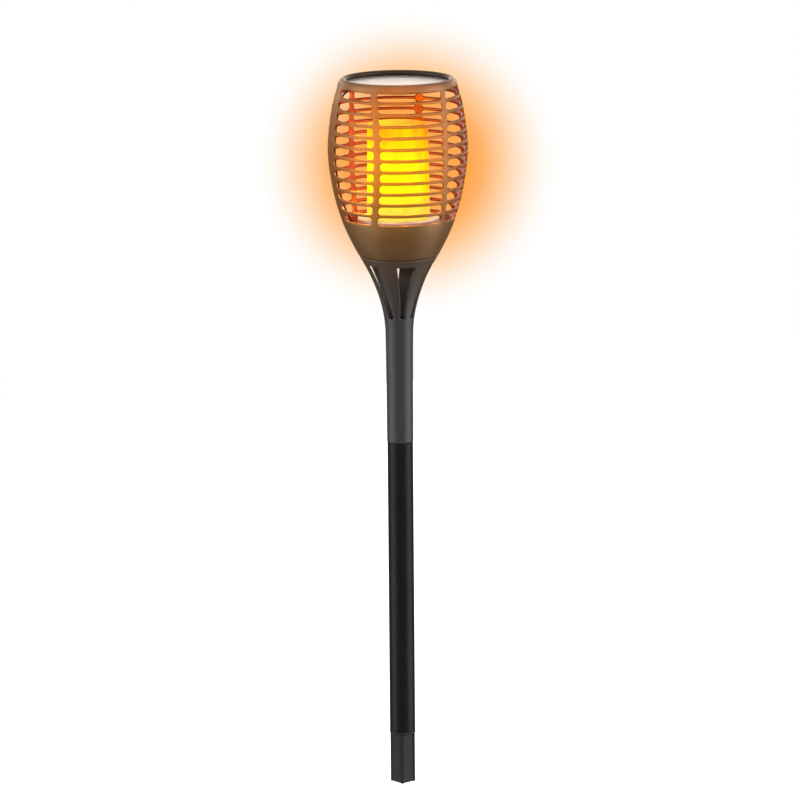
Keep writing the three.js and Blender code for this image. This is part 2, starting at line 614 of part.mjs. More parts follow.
add('switch_body', switchBody(), blackPlastic);
add('switch_lead', switchLead(), leadSleeve);
add('switch_button', switchButton(), rubber);
add('neck_funnel', neckFunnel(), greyPlastic);
add('pole_spigot', poleSpigot(), blackPlastic);
add('pole_tube', poleTube(), satinBlack);
add('ground_spike', groundSpike(), satinBlack);

export default torch;
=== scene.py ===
# Solar flame torch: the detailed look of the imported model, a studio and a camera.
# Shapes are worked out in millimetres and made in metres, in the frame's own axes.
import math

import bpy
import numpy as np
from mathutils import Matrix, Vector

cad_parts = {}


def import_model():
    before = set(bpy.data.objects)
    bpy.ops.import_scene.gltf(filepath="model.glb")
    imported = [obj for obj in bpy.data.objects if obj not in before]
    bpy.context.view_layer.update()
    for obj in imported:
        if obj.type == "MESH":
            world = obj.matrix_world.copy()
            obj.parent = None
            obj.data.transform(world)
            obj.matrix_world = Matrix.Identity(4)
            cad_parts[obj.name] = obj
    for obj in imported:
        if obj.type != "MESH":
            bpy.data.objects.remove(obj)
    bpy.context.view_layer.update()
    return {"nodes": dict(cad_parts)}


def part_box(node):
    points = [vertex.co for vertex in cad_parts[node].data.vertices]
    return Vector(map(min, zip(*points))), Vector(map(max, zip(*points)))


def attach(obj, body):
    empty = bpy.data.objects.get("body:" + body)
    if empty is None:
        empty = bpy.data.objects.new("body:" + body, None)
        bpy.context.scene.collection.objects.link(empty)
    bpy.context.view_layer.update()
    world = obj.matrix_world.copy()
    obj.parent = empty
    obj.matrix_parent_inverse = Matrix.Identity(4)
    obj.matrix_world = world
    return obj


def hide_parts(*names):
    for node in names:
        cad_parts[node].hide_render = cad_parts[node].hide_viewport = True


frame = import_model()
MM = 0.001
GAP = 0.3  # clearance between pieces that touch


def node_box(name):
    """Lowest and highest corners of a CAD node, in millimetres."""
    low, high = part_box(name)
    return [value / MM for value in low], [value / MM for value in high]


# ---------- Sizes read from the frame ----------
HEAD_BOTTOM, HEAD_TOP = node_box("cage_front")[0][2], node_box("cage_front")[1][2]
PANEL_TOP = node_box("panel_cover")[1][2]
COVER_RADIUS = node_box("panel_cover")[1][0]
TRAY_RADIUS, TRAY_BOTTOM = node_box("panel_tray")[1][0], node_box("panel_tray")[0][2]
DIFFUSER_BOTTOM, DIFFUSER_TOP = node_box("flame_diffuser")[0][2], node_box("flame_diffuser")[1][2]
DIFFUSER_RADIUS = node_box("flame_diffuser")[1][0]
PEDESTAL_BOTTOM = node_box("lamp_base")[0][2]
PEDESTAL_RADIUS = node_box("lamp_base")[1][0]
NECK_BOTTOM, NECK_TOP = node_box("neck_funnel")[0][2], node_box("neck_funnel")[1][2]
POLE_BOTTOM, POLE_TOP = node_box("pole_tube")[0][2], node_box("pole_tube")[1][2]
POLE_RADIUS = node_box("pole_tube")[1][0]
SPIKE_TIP, PLUG_TOP = node_box("ground_spike")[0][2], node_box("ground_spike")[1][2]
PEDESTAL_TOP = DIFFUSER_BOTTOM - GAP

# Outlines of revolution, as [radius, height]
HEAD_OUTLINE = [
    [34.3, HEAD_BOTTOM], [38.2, 476.2], [43.3, 486.6], [47.7, 497.1], [51.1, 507.5], [54.2, 518.5],
    [57, 532], [59.2, 547], [60, 561], [59.3, 574], [57.6, 588], [55.2, 601], [52.3, 611.5],
    [50.8, 616.8], [49.6, 620.4],
]
NECK_OUTLINE = [
    [11.4, NECK_BOTTOM], [11.6, 365], [11.9, 398], [12.35, 408], [13.8, 418.4], [16.25, 428.9],
    [19.75, 439.4], [24.1, 450], [29.35, 460.4], [34.1, NECK_TOP],
]

# Cage
WALL = 3.0
CUP_WALL = 2.6
SLOT_ROWS = 12
SLOT_PITCH = 9.67
SLOT_HEIGHT = 7.0
FIRST_SLOT_TOP = HEAD_TOP - 6.9
SLOT_ROUND = 2.6
CENTRE_SLOT_HALF = 27.5
SIDE_SLOT_START = 31.9
EDGE_WEB = 1.6
LIP_INNER = 43.8
SLOT_EDGE_ROUND = 1.1
SEAM_HALF, SEAM_ROUND = 0.12, 0.35

# Panel and lamp
TRAY_WALL, TRAY_FLOOR, COVER_THICKNESS = 1.2, 1.1, 1.0
TUBE_WALL, TUBE_DRAFT, TUBE_ROUND = 1.5, 1.0, 2.8
PEDESTAL_WALL = 2.0
FOOT_INNER, FOOT_OUTER, FOOT_FLARE = 29.4, 31.4, 34.2
FLARE_START, FLARE_BEND, FLARE_END = 2.0, 5.2, 11.4  # heights above the pedestal's foot
RING_INNER, RING_OUTER, RING_HEIGHT = 23.6, 25.1, 2.8  # the ring inside the tube's lower end
LEAD_HOLE = 6.0

# Neck
NECK_WALL = 2.4
NECK_BORE = 9.6
BORE_TOP = 403.0  # from here up the inside follows the flare
SOCKET_RADIUS = 28.6
SOCKET_FLOOR = HEAD_BOTTOM - 5.8
# Each edge of a neck opening bends once on its way from [x, z] at its top to [x, z] at its bottom.
NECK_SLOT_HEIGHTS = [461.8, 436, 414.2]
CENTRE_EDGE = [8.4, 1.65, 2.1]
FRONT_SIDE_EDGES = [[23.5, 13.1, 7.5], [29.2, 15.7, 10.9]]
BACK_SIDE_EDGES = [[22.6, 12.4, 7.5], [28.4, 14.8, 10.4]]

# Pole and spike
POLE_WALL = 0.9
PLUG_RADIUS = POLE_RADIUS - (POLE_WALL + GAP)
COLLAR_TOP = POLE_BOTTOM - GAP
COLLAR_BOTTOM = COLLAR_TOP - 2.2
COLLAR_RADIUS = POLE_RADIUS + 0.2
RIB_HALF = 10.7
TIP_HALF = 1.2
RIB_THICKNESS = 2.0
SPIKE_TURN = math.radians(-17)
BAR_HALF = 10.0
BAR_BORE = 7.2
TAPER_START = -96.0

# Spacing of the points that the carved pieces are meshed from
CAGE_VOXEL, QUICK_CAGE_VOXEL = 0.78, 1.1
NECK_VOXEL = 0.85
SPIKE_VOXEL = 0.7
# Sides of the pieces that are turned
PANEL_SIDES, LAMP_SIDES, POLE_SIDES = 160, 128, 96

# ---------- Camera ----------
CAMERA_AZIMUTH = math.radians(-13)
CAMERA_DISTANCE = 4.19
CAMERA_HEIGHT = 1.217
CAMERA_PITCH = math.radians(11.8075)
CAMERA_YAW = math.radians(-0.001)
CAMERA_ROLL = math.radians(-0.475)
CAMERA_LENS = 222.95


def make_camera():
    data = bpy.data.cameras.new("camera")
    data.sensor_width = 36
    data.lens = CAMERA_LENS
    data.clip_start, data.clip_end = 0.05, 100
    camera = bpy.data.objects.new("camera", data)
    bpy.context.scene.collection.objects.link(camera)
    heading = Matrix.Rotation(CAMERA_AZIMUTH + CAMERA_YAW, 4, "Z")
    tilt = Matrix.Rotation(math.pi / 2 - CAMERA_PITCH, 4, "X")
    roll = Matrix.Rotation(CAMERA_ROLL, 4, "Z")
    place = Matrix.Translation((
        math.sin(CAMERA_AZIMUTH) * CAMERA_DISTANCE,
        -math.cos(CAMERA_AZIMUTH) * CAMERA_DISTANCE,
        CAMERA_HEIGHT,
    ))
    camera.matrix_world = place @ heading @ tilt @ roll
    bpy.context.scene.camera = camera
    return camera


camera = make_camera()
EYE = camera.matrix_world.translation.copy()


# ---------- Shape tools ----------
def smooth_curve(points, per_span=12):
    """A Catmull-Rom curve through [radius, height] points."""
    points = np.array(points, float)
    padded = np.vstack([2 * points[0] - points[1], points, 2 * points[-1] - points[-2]])
    out = []
    for i in range(1, len(padded) - 2):
        a, b, c, d = padded[i - 1:i + 3]
        for t in np.arange(per_span) / per_span:
            out.append(0.5 * (2 * b + (c - a) * t + (2 * a - 5 * b + 4 * c - d) * t ** 2
                              + (3 * b - 3 * c + d - a) * t ** 3))
    out.append(points[-1])
    return np.array(out)


def radius_finder(outline):
    curve = smooth_curve(outline)
    return lambda z: np.interp(z, curve[:, 1], curve[:, 0])


head_radius = radius_finder(HEAD_OUTLINE)
neck_radius = radius_finder(NECK_OUTLINE)


def polygon_distance(corners, u, v):
    """Signed distance to a closed polygon, negative inside, for arrays of points."""
    corners = np.array(corners, float)
    best = np.full(u.shape, 1e18)
    inside = np.zeros(u.shape, bool)
    for (ax, ay), (bx, by) in zip(corners, np.roll(corners, -1, axis=0)):
        ex, ey = bx - ax, by - ay
        length = ex * ex + ey * ey
        if length < 1e-12:
            continue
        wx, wy = u - ax, v - ay
        share = np.clip((wx * ex + wy * ey) / length, 0, 1)
        best = np.minimum(best, (wx - ex * share) ** 2 + (wy - ey * share) ** 2)
        crosses = (ay > v) != (by > v)
        if abs(ey) > 1e-12:
            inside ^= crosses & (u < ax + ex * (v - ay) / ey)
    return np.where(inside, -1, 1) * np.sqrt(best)


def rounded_polygon_distance(corners, radius, u, v):
    """Distance to a convex polygon whose corners are rounded, corners given anticlockwise."""
    corners = np.array(corners, float)
    after, before = np.roll(corners, -1, axis=0) - corners, corners - np.roll(corners, 1, axis=0)
    n_after = np.stack([-after[:, 1], after[:, 0]], 1) / np.linalg.norm(after, axis=1)[:, None]
    n_before = np.stack([-before[:, 1], before[:, 0]], 1) / np.linalg.norm(before, axis=1)[:, None]
    middle = n_after + n_before
    middle *= (2 / (middle ** 2).sum(1))[:, None]
    return polygon_distance(corners + radius * middle, u, v) - radius


class Field:
    """A distance function of two coordinates, tabled once and read back smoothly."""

    def __init__(self, function, u_range, v_range, step=0.25):
        self.low, self.step = (u_range[0], v_range[0]), step
        us = np.arange(u_range[0], u_range[1] + 2 * step, step)
        vs = np.arange(v_range[0], v_range[1] + 2 * step, step)
        u, v = np.meshgrid(us, vs, indexing="ij")
        self.values = function(u, v)

    def __call__(self, u, v):
        rows, columns = self.values.shape
        fu = np.clip((u - self.low[0]) / self.step, 0, rows - 1.001)
        fv = np.clip((v - self.low[1]) / self.step, 0, columns - 1.001)
        iu, iv = fu.astype(int), fv.astype(int)
        su, sv = fu - iu, fv - iv
        low = self.values[iu, iv] * (1 - su) + self.values[iu + 1, iv] * su
        high = self.values[iu, iv + 1] * (1 - su) + self.values[iu + 1, iv + 1] * su
        return low * (1 - sv) + high * sv


def smooth_max(a, b, round_off):
    h = np.maximum(round_off - np.abs(a - b), 0) / round_off
    return np.maximum(a, b) + h * h * round_off / 4


def smooth_min(a, b, round_off):
    return -smooth_max(-a, -b, round_off)


def surface_net(distance, low, high, voxel):
    """The zero surface of a distance function as vertices and quads, pulled onto the surface."""
    axes = [np.arange(lo - 2 * voxel, hi + 3 * voxel, voxel) for lo, hi in zip(low, high)]
    x, y, z = np.meshgrid(*axes, indexing="ij", sparse=True)
    values = distance(x, y, z)
    inside = values < 0
    cells = np.array(values.shape) - 1
    total = np.zeros((*cells, 3), np.float32)
    count = np.zeros(cells, np.float32)
    whole = slice(None)
    for axis in range(3):
        near = [whole] * 3
        far = [whole] * 3
        near[axis], far[axis] = slice(None, -1), slice(1, None)
        a, b = values[tuple(near)], values[tuple(far)]
        crossing = (a < 0) != (b < 0)
        share = np.where(crossing, a / np.where(crossing, a - b, 1), 0).astype(np.float32)
        others = [k for k in range(3) if k != axis]
        for i in (0, 1):
            for j in (0, 1):
                part = [whole] * 3
                for k, shift in zip(others, (i, j)):
                    part[k] = slice(shift, shift + cells[k])
                hit = crossing[tuple(part)]
                count += hit
                total[..., axis] += share[tuple(part)]
                total[..., others[0]] += hit * np.float32(i)
                total[..., others[1]] += hit * np.float32(j)
    active = count > 0
    index = np.full(cells, -1, np.int64)
    index[active] = np.arange(active.sum())
    corner = np.argwhere(active).astype(float)
    points = corner + total[active] / count[active][:, None]
    points = np.array([ax[0] for ax in axes]) + points * voxel
    quads = []
    for axis in range(3):
        others = [k for k in range(3) if k != axis]
        near = [slice(1, -1)] * 3
        far = [slice(1, -1)] * 3
        near[axis], far[axis] = slice(None, -1), slice(1, None)
        a, b = inside[tuple(near)], inside[tuple(far)]
        place = np.argwhere(a != b)
        out = a[tuple(place.T)]
        for k in others:
            place[:, k] += 1
        ring = []
        for i, j in ((0, 0), (1, 0), (1, 1), (0, 1)):
            at = place.copy()
            at[:, others[0]] -= i
            at[:, others[1]] -= j
            ring.append(index[tuple(at.T)])
        ring = np.stack(ring, 1)
        flip = out if axis != 1 else ~out
        ring[~flip] = ring[~flip][:, ::-1]
        quads.append(ring)
    quads = np.concatenate(quads)
    probe = 0.05
    for _ in range(4):
        here = distance(*points.T)
        slope = np.stack([
            distance(*(points + probe * np.eye(3)[k]).T) - distance(*(points - probe * np.eye(3)[k]).T)
            for k in range(3)], 1) / (2 * probe)
        size = np.maximum((slope ** 2).sum(1), 0.2)
        step = np.clip(here / size, -voxel / 2, voxel / 2)
        points -= step[:, None] * slope
    return points, quads


def mesh_object(name, points, faces):
    """A mesh from millimetre points and equal-sided faces."""
    faces = np.asarray(faces, np.int32)
    mesh = bpy.data.meshes.new(name)
    mesh.vertices.add(len(points))
    mesh.vertices.foreach_set("co", (np.asarray(points) * MM).astype(np.float32).ravel())
    sides = faces.shape[1]
    mesh.loops.add(faces.size)
    mesh.loops.foreach_set("vertex_index", faces.ravel())
    mesh.polygons.add(len(faces))
    mesh.polygons.foreach_set("loop_start", np.arange(len(faces), dtype=np.int32) * sides)
    mesh.update(calc_edges=True)
    mesh.validate()
    mesh.polygons.foreach_set("use_smooth", np.ones(len(mesh.polygons), bool))
    piece = bpy.data.objects.new(name, mesh)
    bpy.context.scene.collection.objects.link(piece)
    return piece


def net_object(name, distance, low, high, voxel):
    points, quads = surface_net(distance, low, high, voxel)
    return mesh_object(name, points, quads)


def revolved(name, profile, segments):
    """A closed [radius, height] profile, anticlockwise, turned about the axis."""
    profile = np.array(profile, float)
    angles = 2 * np.pi * np.arange(segments) / segments
    ring = np.stack([np.cos(angles), np.sin(angles)], 1)
    points, rows = [], []
    for r, z in profile:
        if r < 1e-6:
            rows.append([len(points)] * segments)
            points.append((0, 0, z))
        else:
            rows.append(list(range(len(points), len(points) + segments)))
            points.extend((r * c, r * s, z) for c, s in ring)
    mesh = bpy.data.meshes.new(name)
    faces = []
    for i in range(len(rows)):
        a, b = rows[i], rows[(i + 1) % len(rows)]
        if a[0] == a[1] and b[0] == b[1]:
            continue
        for k in range(segments):
            k2 = (k + 1) % segments
            face = [a[k], a[k2], b[k2], b[k]]
            faces.append(list(dict.fromkeys(face)))
    mesh.from_pydata((np.array(points) * MM).tolist(), [], faces)
    mesh.validate()
    mesh.polygons.foreach_set("use_smooth", np.ones(len(mesh.polygons), bool))
    piece = bpy.data.objects.new(name, mesh)
    bpy.context.scene.collection.objects.link(piece)
    return piece


def soften(profile, radius, steps=4):
    """A closed profile with each corner rounded off, except on the axis."""
    profile = [np.array(p, float) for p in profile]
    out = []
    for i, here in enumerate(profile):
        before, after = profile[i - 1], profile[(i + 1) % len(profile)]
        if here[0] < 1e-6:
            out.append(here)
            continue
        reach = min(radius, np.linalg.norm(before - here) * 0.45, np.linalg.norm(after - here) * 0.45)
        a = here + (before - here) / np.linalg.norm(before - here) * reach
        b = here + (after - here) / np.linalg.norm(after - here) * reach
        for t in np.linspace(0, 1, steps + 1):
            out.append((1 - t) ** 2 * a + 2 * t * (1 - t) * here + t * t * b)
    return out


# ---------- Material tools ----------
def ramp_node(nodes, stops):
    ramp = nodes.new("ShaderNodeValToRGB")
    while len(ramp.color_ramp.elements) < len(stops):
        ramp.color_ramp.elements.new(0.5)
    for element, (position, colour) in zip(ramp.color_ramp.elements, stops):
        element.position, element.color = position, (*colour, 1)
    return ramp


class Look:
    """A node material under construction."""

    def __init__(self, name):
        self.material = bpy.data.materials.new(name)
        self.material.use_nodes = True
        self.nodes = self.material.node_tree.nodes
        self.links = self.material.node_tree.links
        self.shader = self.nodes["Principled BSDF"]
        self.place = self.nodes.new("ShaderNodeTexCoord").outputs["Object"]

    def set(self, **values):
        for name, value in values.items():
            self.shader.inputs[name.replace("_", " ")].default_value = value
        return self

    def noise(self, scale, detail=4, stretch=(1, 1, 1)):
        mapping = self.nodes.new("ShaderNodeMapping")
        mapping.inputs["Scale"].default_value = stretch
        self.links.new(self.place, mapping.inputs["Vector"])
        noise = self.nodes.new("ShaderNodeTexNoise")
        noise.inputs["Scale"].default_value = scale
        noise.inputs["Detail"].default_value = detail
        self.links.new(mapping.outputs["Vector"], noise.inputs["Vector"])
        return noise.outputs["Fac"]

    def along(self, direction, start, end):
        """0 to 1 as the surface goes from start to end millimetres along a direction."""
        dot = self.nodes.new("ShaderNodeVectorMath")
        dot.operation = "DOT_PRODUCT"
        dot.inputs[1].default_value = direction
        self.links.new(self.place, dot.inputs[0])
        return self.ranged(dot.outputs["Value"], start * MM, end * MM, 0, 1)

    def ranged(self, value, from_low, from_high, to_low, to_high):
        node = self.nodes.new("ShaderNodeMapRange")
        for name, number in zip(("From Min", "From Max", "To Min", "To Max"),
                                (from_low, from_high, to_low, to_high)):
            node.inputs[name].default_value = number
        self.links.new(value, node.inputs["Value"])
        return node.outputs["Result"]

    def maths(self, operation, a, b=0.5):
        node = self.nodes.new("ShaderNodeMath")
        node.operation = operation
        for socket, value in zip(node.inputs, (a, b)):
            if isinstance(value, (int, float)):
                socket.default_value = value
            else:
                self.links.new(value, socket)
        return node.outputs[0]

    def ramp(self, value, stops):
        node = ramp_node(self.nodes, stops)
        self.links.new(value, node.inputs["Fac"])
        return node.outputs["Color"]

    def lines(self, direction, pitch_mm, width_mm, span_mm=120):
        """1 on thin lines a pitch apart along a direction, 0 between them."""
        steps = self.maths("MULTIPLY", self.along(direction, -span_mm / 2, span_mm / 2),
                           span_mm / pitch_mm)
        half = width_mm / pitch_mm / 2
        return self.ranged(self.maths("PINGPONG", steps, 0.5), half, half * 0.6, 0, 1)

    def inward(self):
        """1 where the surface faces the torch's axis, 0 where it faces away."""
        coordinates = self.nodes.new("ShaderNodeTexCoord")
        flat = self.nodes.new("ShaderNodeVectorMath")
        flat.operation = "MULTIPLY"
        flat.inputs[1].default_value = (1, 1, 0)
        self.links.new(coordinates.outputs["Object"], flat.inputs[0])
        unit = self.nodes.new("ShaderNodeVectorMath")
        unit.operation = "NORMALIZE"
        self.links.new(flat.outputs["Vector"], unit.inputs[0])
        dot = self.nodes.new("ShaderNodeVectorMath")
        dot.operation = "DOT_PRODUCT"
        self.links.new(unit.outputs["Vector"], dot.inputs[0])
        self.links.new(coordinates.outputs["Normal"], dot.inputs[1])
        return self.ranged(dot.outputs["Value"], -0.05, -0.5, 0, 1)

    def blend(self, share, first, second):
        node = self.nodes.new("ShaderNodeMix")
        node.data_type = "RGBA"
        self.links.new(share, node.inputs["Factor"])
        for value, name in ((first, "A"), (second, "B")):
            socket = [i for i in node.inputs if i.name == name and i.type == "RGBA"][0]
            self.links.new(value, socket)
        return [o for o in node.outputs if o.type == "RGBA"][0]

    def to(self, value, name):
        self.links.new(value, self.shader.inputs[name])
        return self

    def bump(self, height, distance_mm, strength=1.0):
        node = self.nodes.new("ShaderNodeBump")
        node.inputs["Strength"].default_value = strength
        node.inputs["Distance"].default_value = distance_mm * MM
        self.links.new(height, node.inputs["Height"])
        self.links.new(node.outputs["Normal"], self.shader.inputs["Normal"])
        return self


def srgb(code):
    """A linear colour from six hex digits."""
    parts = [int(code[i:i + 2], 16) / 255 for i in (0, 2, 4)]
    return tuple(p / 12.92 if p <= 0.04045 else ((p + 0.055) / 1.055) ** 2.4 for p in parts)


UP = (0, 0, 1)
# Heights between which a paint, a painted glow, painted shade or the flame's colour changes, from where the
# change starts to where it ends
CUP_RIM = 498, 510
LIP_EDGE = 619, 609
LIP_INSIDE_SHADE = 616, 618.5
NECK_FLARE = 400, 470
FLAME_UPPER = 548, 586
FLAME_FOOT = 524, 505
# The flame turns orange towards one side, between these distances from the axis
FLAME_RIGHT = (0.974, -0.225, 0)
FLAME_SIDE = 4, 30


def bronze_paint():
    """Bronze paint with the flame's light painted on: the slats painted warmer as a painted glow, their
    inside painted redder as painted flame light, and the lip's inside painted dark as painted shade.
    """
    look = Look("bronze_paint").set(Metallic=0.45, Roughness=0.42, Coat_Weight=0.1, Coat_Roughness=0.35)
    mottle = look.noise(60, detail=5)
    plain = look.ramp(mottle, [(0.3, srgb("8f6843")), (0.7, srgb("9d744c"))])
    # painted glow: between the cup's rim and the lip the slats get a warmer, more orange bronze that stands
    # in for the flame's light on them
    slat_painted_glow = look.ramp(mottle, [(0.3, srgb("9c632d")), (0.7, srgb("a86d35"))])
    above_cup, below_lip = look.along(UP, *CUP_RIM), look.along(UP, *LIP_EDGE)
    slats = look.maths("MULTIPLY", above_cup, below_lip)
    outside = look.blend(slats, plain, slat_painted_glow)
    # painted flame light and painted shade on the inward faces: red below the lip as painted flame light, and
    # dark brown up the lip's inside as painted shade
    inside = look.ramp(look.along(UP, *LIP_INSIDE_SHADE), [(0.2, srgb("6e2a04")), (0.8, srgb("4a3320"))])
    look.to(look.blend(look.inward(), outside, inside), "Base Color")
    look.to(look.ranged(look.noise(220), 0.3, 0.7, 0.38, 0.48), "Roughness")
    return look.bump(look.noise(2600, detail=3), 0.02, 0.5).material


def moulded_plastic(name, dark, light, roughness, grain=0.015, gloss=0.5):
    look = Look(name).set(Specular_IOR_Level=gloss)
    look.to(look.ramp(look.noise(45, detail=5), [(0.3, dark), (0.7, light)]), "Base Color")
    look.to(look.ranged(look.noise(180), 0.3, 0.7, roughness - 0.05, roughness + 0.05), "Roughness")
    return look.bump(look.noise(2200, detail=3), grain, 0.5).material


def neck_plastic():
    """Dark grey satin plastic, with painted warm light that turns it brown-grey up the flare."""
    look = Look("neck_plastic")
    # painted warm light: the colour runs lighter and browner up the flare, standing in for the head's warm
    # light spilling onto it
    painted_spill_rise = look.along(UP, *NECK_FLARE)
    mottle = look.ranged(look.noise(50, detail=5), 0.3, 0.7, -0.06, 0.06)
    look.to(look.ramp(look.maths("ADD", painted_spill_rise, mottle), [
        (0.0, srgb("464646")), (0.5, srgb("4f4843")), (1.0, srgb("6b5645"))]), "Base Color")
    look.to(look.ranged(look.noise(180), 0.3, 0.7, 0.36, 0.46), "Roughness")
    return look.bump(look.noise(2200, detail=3), 0.015, 0.5).material


def flame_glow():
    """Frosted tube, lit from inside: yellow, running to orange at the top and right."""
    look = Look("flame_glow").set(Roughness=0.6, Specular_IOR_Level=0.05, Base_Color=(0.02, 0.01, 0.0, 1))
    right = look.along(FLAME_RIGHT, *FLAME_SIDE)
    top = look.along(UP, *FLAME_UPPER)
    blots = look.ranged(look.noise(42, detail=2, stretch=(1, 1, 0.8)), 0.3, 0.7, -0.2, 0.2)
    streaks = look.ranged(look.noise(120, detail=1, stretch=(1, 1, 0.22)), 0.3, 0.7, -0.1, 0.1)
    warm = look.maths("ADD", look.maths("ADD", look.maths("MULTIPLY", right, 0.45),
                                        look.maths("MULTIPLY", top, 0.72)), look.maths("ADD", blots, streaks))
    colour = look.ramp(warm, [
        (0.0, srgb("fffe12")), (0.25, srgb("fffa10")), (0.5, srgb("ffdc0a")), (0.75, srgb("ffb80c")),
        (1.0, srgb("ff9412"))])
    pale = look.ramp(streaks, [(0.0, srgb("ffe24e")), (0.1, srgb("ffd444"))])
    look.to(look.blend(look.along(UP, *FLAME_FOOT), colour, pale), "Emission Color")
    return look.set(Emission_Strength=1.0).material


def clear_plastic():
    """The panel's satin cover: clear from above, and a pale sheen at a low angle."""
    look = Look("clear_plastic").set(Transmission_Weight=0.99, IOR=1.52, Base_Color=(0.95, 0.96, 0.98, 1))
    look.to(look.ranged(look.noise(90), 0.3, 0.7, 0.40, 0.46), "Roughness")
    return look.material


def solar_cell_look():
    """Blue silicon under a silver grid: fine fingers one way and wider bars across them."""
    look = Look("solar_cell").set(Roughness=0.25, Coat_Weight=0.4)
    silicon = look.ramp(look.noise(70, detail=6), [(0.35, srgb("101f45")), (0.65, srgb("22386e"))])
    silver = look.ramp(look.noise(200), [(0.3, srgb("a9afb8")), (0.7, srgb("c3c8cf"))])
    grid = look.maths("MAXIMUM", look.lines((1, 0, 0), 2.4, 0.3), look.lines((0, 1, 0), 20, 1.5))
    look.to(look.blend(grid, silicon, silver), "Base Color")
    return look.bump(look.noise(900), 0.01, 0.4).material


def plated_steel():
    look = Look("plated_steel").set(Metallic=1.0)
    look.to(look.ramp(look.noise(300, stretch=(1, 1, 8)), [(0.3, srgb("9a9b9d")), (0.7, srgb("c4c6c8"))]),
            "Base Color")
    look.to(look.ranged(look.noise(500), 0.3, 0.7, 0.25, 0.4), "Roughness")
    return look.material


bronze = bronze_paint()
black_plastic = moulded_plastic("black_plastic", srgb("191919"), srgb("232323"), 0.45)
white_plastic = moulded_plastic("white_plastic", srgb("efe4da"), srgb("f7ece2"), 0.4)
pole_black = moulded_plastic("pole_black", srgb("1c1c1d"), srgb("232324"), 0.36, 0.008, 0.2)
spike_black = moulded_plastic("spike_black", srgb("2e2e2e"), srgb("363636"), 0.42, 0.015, 0.2)
rubber = moulded_plastic("rubber", srgb("121212"), srgb("1a1a1a"), 0.75, 0.03)
board_green = moulded_plastic("board_green", srgb("124a2a"), srgb("1c6038"), 0.35)
cell_wrap = moulded_plastic("cell_wrap", srgb("1f5f42"), srgb("28704f"), 0.3)
lead_black = moulded_plastic("lead_black", srgb("1a1816"), srgb("262320"), 0.5)
neck_grey = neck_plastic()
flame = flame_glow()
clear = clear_plastic()
cells = solar_cell_look()
steel = plated_steel()


def dress(piece, material, body, slot, *replaced):
    """Gives a new piece its material and its body, and hides the nodes it stands for; the slot argument is
    not used.
    """
    piece.data.materials.clear()
    piece.data.materials.append(material)
    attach(piece, body)
    if replaced:
        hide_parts(*replaced)


# ---------- Head: cage ----------
def cage_profile():
    """The wall of the head, from the seam up the outside, over the lip and down the inside."""
    heights = np.linspace(HEAD_BOTTOM + 0.6, HEAD_TOP - 5.2, 110)
    outer = [(head_radius(z), z) for z in heights]
    lip = [(50.6, 617.6), (50.1, 619.4), (49.2, 620.9), (47.8, 621.7), (46.4, HEAD_TOP),
           (45.2, 621.7), (44.3, 621.0), (43.85, 620.0), (LIP_INNER, 619.0),
           (LIP_INNER, PANEL_TOP + GAP), (head_radius(PANEL_TOP) - WALL, PANEL_TOP + GAP)]
    inner = []
    for z in heights[::-1]:
        if HEAD_BOTTOM + 9 < z < PANEL_TOP - 1:
            wall = np.interp(z, [HEAD_BOTTOM + 13, FIRST_SLOT_TOP - SLOT_ROWS * SLOT_PITCH], [CUP_WALL, WALL])
            inner.append((head_radius(z) - wall, z))
    groove = [(35.2, HEAD_BOTTOM + 6.7), (31.8, HEAD_BOTTOM + 4.9), (31.8, HEAD_BOTTOM + 3.5),
              (33, HEAD_BOTTOM + 3.5), (31.6, HEAD_BOTTOM)]
    return [(33.9, HEAD_BOTTOM), *outer, *lip, *inner, *groove]


def slot_field():
    """Distance to the nearest slot in the plane of |x| and z, negative inside a slot."""
    def distance(u, v):
        best = np.full(u.shape, 1e3)
        for row in range(SLOT_ROWS):
            top = FIRST_SLOT_TOP - row * SLOT_PITCH
            bottom = top - SLOT_HEIGHT
            near = (v > bottom - 12) & (v < top + 12)
            centre = [(-CENTRE_SLOT_HALF, bottom), (CENTRE_SLOT_HALF, bottom),
                      (CENTRE_SLOT_HALF, top), (-CENTRE_SLOT_HALF, top)]
            side = [(SIDE_SLOT_START, bottom), (head_radius(bottom) - EDGE_WEB, bottom),
                    (head_radius(top) - EDGE_WEB, top), (SIDE_SLOT_START, top)]
            for outline in (centre, side):
                found = rounded_polygon_distance(outline, SLOT_ROUND, u[near], v[near])
                best[near] = np.minimum(best[near], found)
        return best
    return Field(distance, (0, 64), (HEAD_BOTTOM - 4, HEAD_TOP + 4), 0.2)


def cage_halves():
    profile = cage_profile()
    wall = Field(lambda u, v: polygon_distance(profile, u, v), (20, 66), (HEAD_BOTTOM - 4, HEAD_TOP + 4), 0.2)
    slots = slot_field()

    def shell(x, y, z):
        level = z + 0 * x * y
        return smooth_max(wall(np.hypot(x, y), level), -slots(np.abs(x) + 0 * y, level), SLOT_EDGE_ROUND)

    for name, side in (("cage_front", -1), ("cage_back", 1)):
        def half(x, y, z, side=side):
            return smooth_max(shell(x, y, z), SEAM_HALF - side * y, SEAM_ROUND)
        low, high = ([-60, -60, HEAD_BOTTOM], [60, 0, HEAD_TOP]) if side < 0 else (
            [-60, 0, HEAD_BOTTOM], [60, 60, HEAD_TOP])
        voxel = CAGE_VOXEL
        piece = net_object(name + "_detail", half, low, high, voxel)
        dress(piece, bronze, "head", "bronze_paint", name)


cage_halves()


